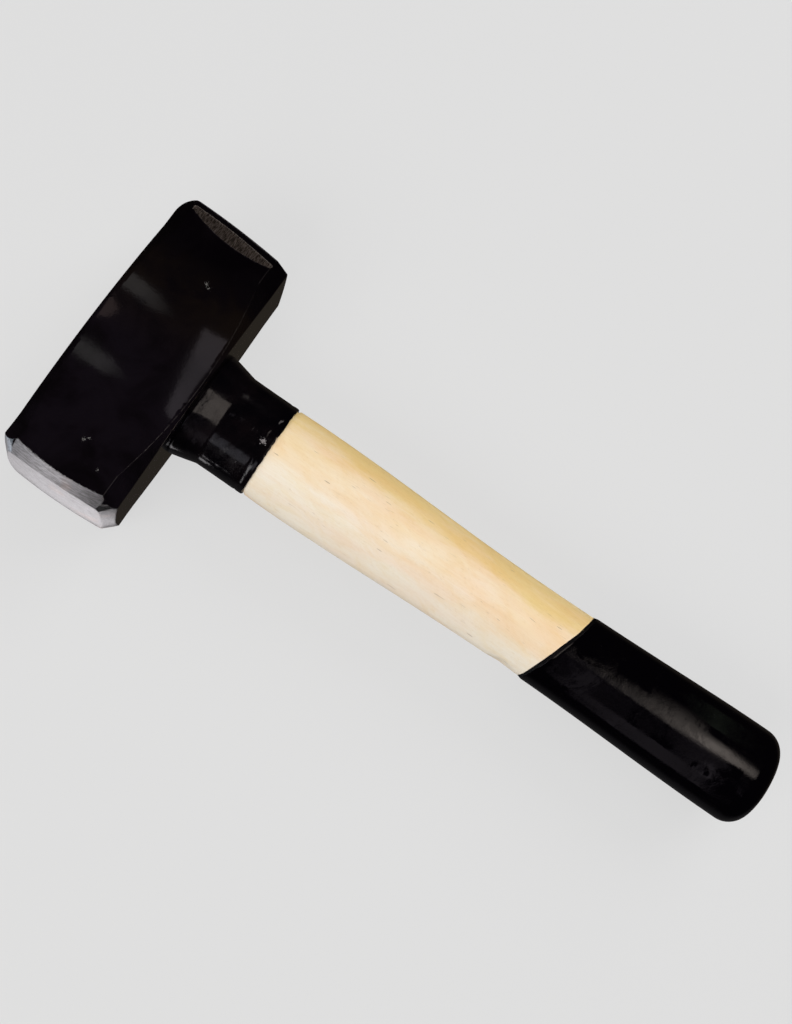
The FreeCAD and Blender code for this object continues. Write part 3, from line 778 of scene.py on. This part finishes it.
def sleeve_material():
    """Glossy black soft plastic, slightly lumpy, with scuffs."""
    s = Shader("black_sleeve")
    p = s.place
    cloud = s.noise(p, 0.12, 3, 0.6)
    lumps = s.noise(p, 0.35, 2)
    pebble = s.noise(p, 1.6, 3, 0.6)
    rub = s.noise(s.scale(p, 1.2, 0.5, 0.5), 1, 5, 0.7)
    scuff = s.math("MULTIPLY", s.ramp(rub, 0.66, 0.72), s.ramp(cloud, 0.5, 0.62))
    mark = s.math("ADD", s.distance(SCUFF_AT), s.math("MULTIPLY", s.math("SUBTRACT", pebble, 0.5), 5.0))
    scuff = s.math("MAXIMUM", s.math("MULTIPLY", scuff, 0.35), s.ramp(mark, 0.95, 0.55))
    colour = s.blend(s.ramp(cloud, 0.35, 0.75), SLEEVE_DARK, SLEEVE_PALE)
    colour = s.blend(scuff, colour, SCUFF)
    s.set(
        Base_Color=colour,
        Roughness=s.math("ADD", s.ramp(cloud, 0.3, 0.75, 0.09, 0.17), s.math("MULTIPLY", scuff, 0.35)),
    )
    height = s.math("ADD", s.math("MULTIPLY", lumps, 0.05), s.math("MULTIPLY", pebble, 0.007))
    s.bump(s.math("SUBTRACT", height, s.math("MULTIPLY", scuff, 0.03)))
    return s.material


COAT_DARK = (0.0005, 0.0003, 0.0008)
COAT_WORN = (0.0012, 0.0008, 0.0012)


def coat_material():
    """Black lacquer dipped over wood, whose grain shows through. Its feathered edge is matt."""
    s = Shader("black_dip")
    p = s.place
    grain = s.noise(s.scale(p, 0.10, 1.5, 1.5), 1, 4, 0.65)
    pores = s.noise(s.scale(p, 0.45, 1.7, 1.7), 1, 4, 0.7)
    cloud = s.noise(p, 0.09, 4, 0.65, 0.5)
    mottle = s.noise(s.scale(p, 1.7, 2.4, 2.4), 1, 3, 0.7)
    x, y = s.split(p)[:2]
    past = s.math("SUBTRACT", s.math("SUBTRACT", x, COAT_EDGE / MM), s.math("MULTIPLY", y, COAT_LEAN))
    worn = s.math("MULTIPLY", s.ramp(pores, 0.48, 0.7), s.ramp(cloud, 0.42, 0.6))
    matt_edge = s.ramp(past, 1.6, 0.6, 0.0, 0.7)
    rough = s.math("ADD", s.ramp(cloud, 0.3, 0.7, 0.03, 0.07), s.math("MULTIPLY", worn, 0.06))
    s.set(
        Base_Color=s.blend(worn, COAT_DARK, COAT_WORN),
        Roughness=s.math("MAXIMUM", matt_edge, rough),
    )
    height = s.math("ADD", s.math("MULTIPLY", grain, 0.0025), s.math("MULTIPLY", pores, 0.0020))
    dimples = s.math("MULTIPLY", mottle, s.ramp(cloud, 0.38, 0.58, 0.0012, 0.0190))
    s.bump(s.math("ADD", height, dimples))
    return s.material


MILD_DARK = (0.22, 0.215, 0.21)
MILD_PALE = (0.42, 0.41, 0.40)
RUST = (0.16, 0.07, 0.035)


def wedge_steel_material():
    """The steel wedge: hammered, slightly rusty mild steel."""
    s = Shader("wedge_steel")
    p = s.place
    grain = s.noise(p, 1.5, 4, 0.65)
    rust = s.ramp(s.noise(p, 0.5, 4, 0.7), 0.5, 0.68)
    colour = s.blend(s.ramp(grain, 0.3, 0.7), MILD_DARK, MILD_PALE)
    colour = s.blend(s.math("MULTIPLY", rust, 0.7), colour, RUST)
    s.set(
        Base_Color=colour,
        Metallic=s.math("SUBTRACT", 1.0, s.math("MULTIPLY", rust, 0.7)),
        Roughness=s.ramp(grain, 0.3, 0.7, 0.35, 0.6),
    )
    s.bump(s.math("MULTIPLY", grain, 0.06))
    return s.material


# ---------------------------------------------------------------- pieces

COVER_SHARP_ANGLE = math.radians(50)
WEDGE_PITH = (-20.0, 90.0)
WEDGE_TINT = 0.85

handle = link("handle_wood", handle_mesh(), wood_material("pale_wood"), "handle")
cut_slots(handle, "wood_wedge", "steel_wedge")
coat = link("grip_coating", coat_mesh(), coat_material(), "grip_coat")
coat.data.set_sharp_from_angle(angle=COVER_SHARP_ANGLE)
sleeve = link("sleeve", sleeve_mesh(), sleeve_material(), "neck_sleeve")
sleeve.data.set_sharp_from_angle(angle=COVER_SHARP_ANGLE)
head = link("forged_head", head_mesh(), head_material(), "hammer_head")
weight_normals(head)

for node, material in (
    ("wood_wedge", wood_material("wedge_wood", WEDGE_PITH, WEDGE_TINT)),
    ("steel_wedge", wedge_steel_material()),
):
    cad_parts[node].data.materials[0] = material


# ---------------------------------------------------------------- studio

FLOOR_RINGS = (0.4, 1.0, 2.5, 6.0)
FLOOR_GLOW = 0.622
FLOOR_DARK = (0.098, 0.098, 0.098)
FLOOR_PALE = (0.102, 0.102, 0.102)
FLOOR_DROP = 0.02 * MM


def floor_mesh():
    rows = [[Vector((r * math.cos(a), r * math.sin(a), 0)) for a in ANGLES] for r in FLOOR_RINGS]
    return mesh_from_rows("floor", rows, (Vector((0, 0, 0)), None))


def floor_material():
    """Matt and glowing a little by itself, so that it stays white with soft shadows."""
    s = Shader("pale_floor")
    tone = s.noise(s.place, 0.004, 2)
    s.set(
        Base_Color=s.blend(tone, FLOOR_DARK, FLOOR_PALE),
        Roughness=0.9,
        Specular_IOR_Level=0.0,
        Emission_Color=(1.0, 1.0, 1.0),
        Emission_Strength=FLOOR_GLOW,
    )
    return s.material


floor = bpy.data.objects.new("floor", floor_mesh())
bpy.context.scene.collection.objects.link(floor)
floor.data.materials.append(floor_material())
floor.location.z = -FLOOR_DROP
floor.visible_glossy = False


def aim(location, target):
    return (Vector(target) - Vector(location)).to_track_quat("-Z", "Y").to_euler()


def soft_light(name, location, target, size, watts, colour):
    """A softbox that lights the surfaces but isn't seen in the lacquer."""
    light = bpy.data.lights.new(name, "AREA")
    light.shape = "RECTANGLE"
    light.size, light.size_y = size
    light.energy = watts
    light.color = colour
    lamp = bpy.data.objects.new(name, light)
    lamp.location = location
    lamp.rotation_euler = aim(location, target)
    lamp.visible_camera = False
    lamp.visible_glossy = False
    bpy.context.scene.collection.objects.link(lamp)


CEILING_Z = 1.02
ARCH_RADIUS = 1.0
ARCH_STEP = 5
GLOW_TINT = (1.0, 0.97, 0.95)


def glow(name, verts, faces, radiance, colour=GLOW_TINT, fade=None):
    """A sheet in the room that only the gloss sees.

    fade is (axis, bright, dark): along that axis it goes out from the bright place to the dark one.
    """
    mesh = bpy.data.meshes.new(name)
    mesh.from_pydata([Vector(v) for v in verts], [], faces)
    sheet = bpy.data.objects.new(name, mesh)
    bpy.context.scene.collection.objects.link(sheet)
    s = Shader(name)
    s.set(Base_Color=(0.0, 0.0, 0.0), Specular_IOR_Level=0.0, Emission_Color=colour)
    strength = radiance
    if fade:
        axis, bright, dark = fade
        strength = s.ramp(s.split(s.place)[axis], bright / MM, dark / MM, radiance, 0.0)
    s.put(s.surface.inputs["Emission Strength"], strength)
    mesh.materials.append(s.material)
    sheet.visible_camera = False
    sheet.visible_diffuse = False
    sheet.visible_shadow = False


def panel(name, corners, radiance, **look):
    """A flat sheet with these corners."""
    glow(name, corners, [tuple(range(len(corners)))], radiance, **look)


def ceiling(name, outline, radiance, **look):
    """A flat sheet overhead, where the cheek mirrors it."""
    panel(name, [(x, y, CEILING_Z) for x, y in outline], radiance, **look)


def level(name, x, y, z, radiance, **look):
    """A level rectangle between two x and two y."""
    panel(name, [(x[0], y[0], z), (x[1], y[0], z), (x[1], y[1], z), (x[0], y[1], z)], radiance, **look)


def upright(name, start, end, z, radiance, **look):
    """An upright rectangle from one XY point to another, between two heights."""
    panel(name, [(*start, z[0]), (*end, z[0]), (*end, z[1]), (*start, z[1])], radiance, **look)


def arch(name, x_low, x_high, angle_low, angle_high, radiance, **look):
    """A strip bent round the handle's axis. Angles are in degrees from straight up towards +Y."""
    angles = [math.radians(a) for a in spaced(angle_low, angle_high, ARCH_STEP)]
    verts = []
    for a in angles:
        for x in (x_low, x_high):
            verts.append((x, ARCH_RADIUS * math.sin(a), AXIS_Z + ARCH_RADIUS * math.cos(a)))
    faces = [(2 * i, 2 * i + 1, 2 * i + 3, 2 * i + 2) for i in range(len(angles) - 1)]
    glow(name, verts, faces, radiance, **look)


TARGET = (0.09, 0.0, 0.02)
SIDE_BOX = (1.2, 0.8)
TOP_BOX = (1.6, 1.6)
WARM = (1.0, 0.985, 0.96)
WHITE = (1.0, 1.0, 1.0)
soft_light("key", (-0.25, -1.1, 1.0), TARGET, SIDE_BOX, 17, WARM)
soft_light("top", (0.1, 0.1, 1.6), TARGET, TOP_BOX, 12, WHITE)
soft_light("fill", (0.5, 1.1, 0.9), TARGET, SIDE_BOX, 15, WHITE)

# What the black lacquer mirrors: two roof rails, a tab and a sheet on the cheek.
RAIL_FADE = (0, -0.215, -0.155)
RAIL_FAR = [(-0.235, 0.301), (-0.236, 0.284), (-0.188, 0.281), (-0.160, 0.289), (-0.190, 0.298)]
RAIL_NEAR = [(-0.235, 0.213), (-0.236, 0.197), (-0.190, 0.197), (-0.160, 0.204), (-0.190, 0.214)]
TAB = [(-0.235, 0.270), (-0.236, 0.242), (-0.216, 0.247), (-0.213, 0.260)]
WEDGE_SHEET = [(-0.131, 0.296), (-0.094, 0.300), (-0.092, 0.194), (-0.112, 0.200)]
ceiling("rail_far", RAIL_FAR, 0.46, fade=RAIL_FADE)
ceiling("rail_near", RAIL_NEAR, 0.50, fade=RAIL_FADE)
ceiling("tab", TAB, 0.42, colour=(1.0, 0.74, 0.68))
ceiling("wedge_sheet", WEDGE_SHEET, 0.52, colour=(1.0, 0.9, 0.98))

# A window frame and a lamp in the grip's gloss, and a strip and a lamp for the sleeve.
FRAME_TINT = (1.0, 0.88, 1.0)
LAMP_TINT = (1.0, 0.88, 0.80)
arch("frame_left", 0.352, 0.377, -62, 8, 0.18, colour=FRAME_TINT)
arch("frame_foot", 0.376, 0.523, -78, -46, 0.20, colour=FRAME_TINT)
arch("frame_right_low", 0.484, 0.523, -46, 3, 0.32, colour=FRAME_TINT)
arch("frame_right_high", 0.484, 0.523, 38, 80, 0.13, colour=(0.8, 1.0, 0.7))
arch("lamp_start", 0.377, 0.420, -2, 28, 0.48, colour=LAMP_TINT, fade=(1, 0.12, 0.48))
arch("lamp_middle", 0.420, 0.484, -3, 47, 1.05, colour=LAMP_TINT, fade=(1, 0.12, 0.72))
arch("lamp_narrow", 0.484, 0.556, 3, 27, 2.2, colour=LAMP_TINT, fade=(1, 0.20, 0.46))
arch("lamp_end", 0.556, 0.640, 4, 20, 1.5, colour=LAMP_TINT, fade=(1, 0.20, 0.36))
arch("sleeve_strip", -0.14, 0.06, -52, -32, 0.75, colour=(0.9, 0.88, 1.0), fade=(0, 0.02, -0.13))
level("shoulder_lamp", (0.122, 0.156), (-0.10, 0.15), 0.32, 1.3, colour=LAMP_TINT)

# What the ground steel mirrors.
FLOOR_SHEET_Z = -0.001
CARD_TINT = (1.0, 0.97, 1.0)
level("spot_sheet", (-0.70, -0.20), (1.15, 1.75), 1.0, 1.75, colour=(1.0, 0.92, 0.88))
upright("window", (-1.00, -0.30), (-0.50, -0.90), (-0.8, 0.10), 2.4, colour=(0.78, 0.88, 1.0))
upright("near_card", (-0.30, -0.30), (-0.02, -0.30), (0.00, 0.34), 3.4,
        colour=CARD_TINT, fade=(0, -0.02, -0.14))
level("corner_floor", (0.022, 0.029), (-0.070, -0.049), FLOOR_SHEET_Z, 2.2, colour=CARD_TINT)
level("near_floor", (-0.07, 0.022), (-0.20, -0.051), FLOOR_SHEET_Z, 1.8,
      colour=CARD_TINT, fade=(0, 0.022, -0.10))

ROOM_DARKEST = 0.006
ROOM_NEAR_TINT = (1.0, 0.97, 1.0)
ROOM_FAR_TINT = (1.0, 0.84, 0.66)


def room():
    """A dark room, paler straight below the tool and on its -Y side."""
    world = bpy.data.worlds.new("room")
    world.use_nodes = True
    g = Graph(world.node_tree)
    coords = g.nodes.new("ShaderNodeTexCoord")
    y, z = g.split(coords.outputs["Generated"])[1:]
    below = g.ramp(z, -0.60, -0.22, 1.0, 0.0)
    side = g.ramp(y, -0.30, 0.12, 0.05, 0.030)
    strength = g.math("ADD", g.math("MULTIPLY", below, side), ROOM_DARKEST)
    background = g.nodes["Background"].inputs
    g.put(background["Color"], g.blend(g.ramp(y, -0.2, 0.2), ROOM_NEAR_TINT, ROOM_FAR_TINT))
    g.put(background["Strength"], strength)
    bpy.context.scene.world = world


room()

CAMERA_AT = Vector((0.0685, -0.1011, 0.4479))
CAMERA_LOOK = Vector((0.0494, 0.2445, -0.9684))
CAMERA_UP = Vector((-0.5646, 0.8066, 0.1749))
CAMERA_LENS = 48.6
CAMERA_SENSOR = 36


def place_camera():
    """A camera above the near side that looks down on the whole tool."""
    data = bpy.data.cameras.new("camera")
    data.lens = CAMERA_LENS
    data.sensor_width = CAMERA_SENSOR
    data.clip_start = 0.01
    camera = bpy.data.objects.new("camera", data)
    bpy.context.scene.collection.objects.link(camera)
    forward = CAMERA_LOOK.normalized()
    right = forward.cross(CAMERA_UP).normalized()
    up = right.cross(forward)
    turn = Matrix((right, up, -forward)).transposed().to_4x4()
    camera.matrix_world = Matrix.Translation(CAMERA_AT) @ turn
    bpy.context.scene.camera = camera
    bpy.context.scene.view_settings.view_transform = "Standard"


place_camera()
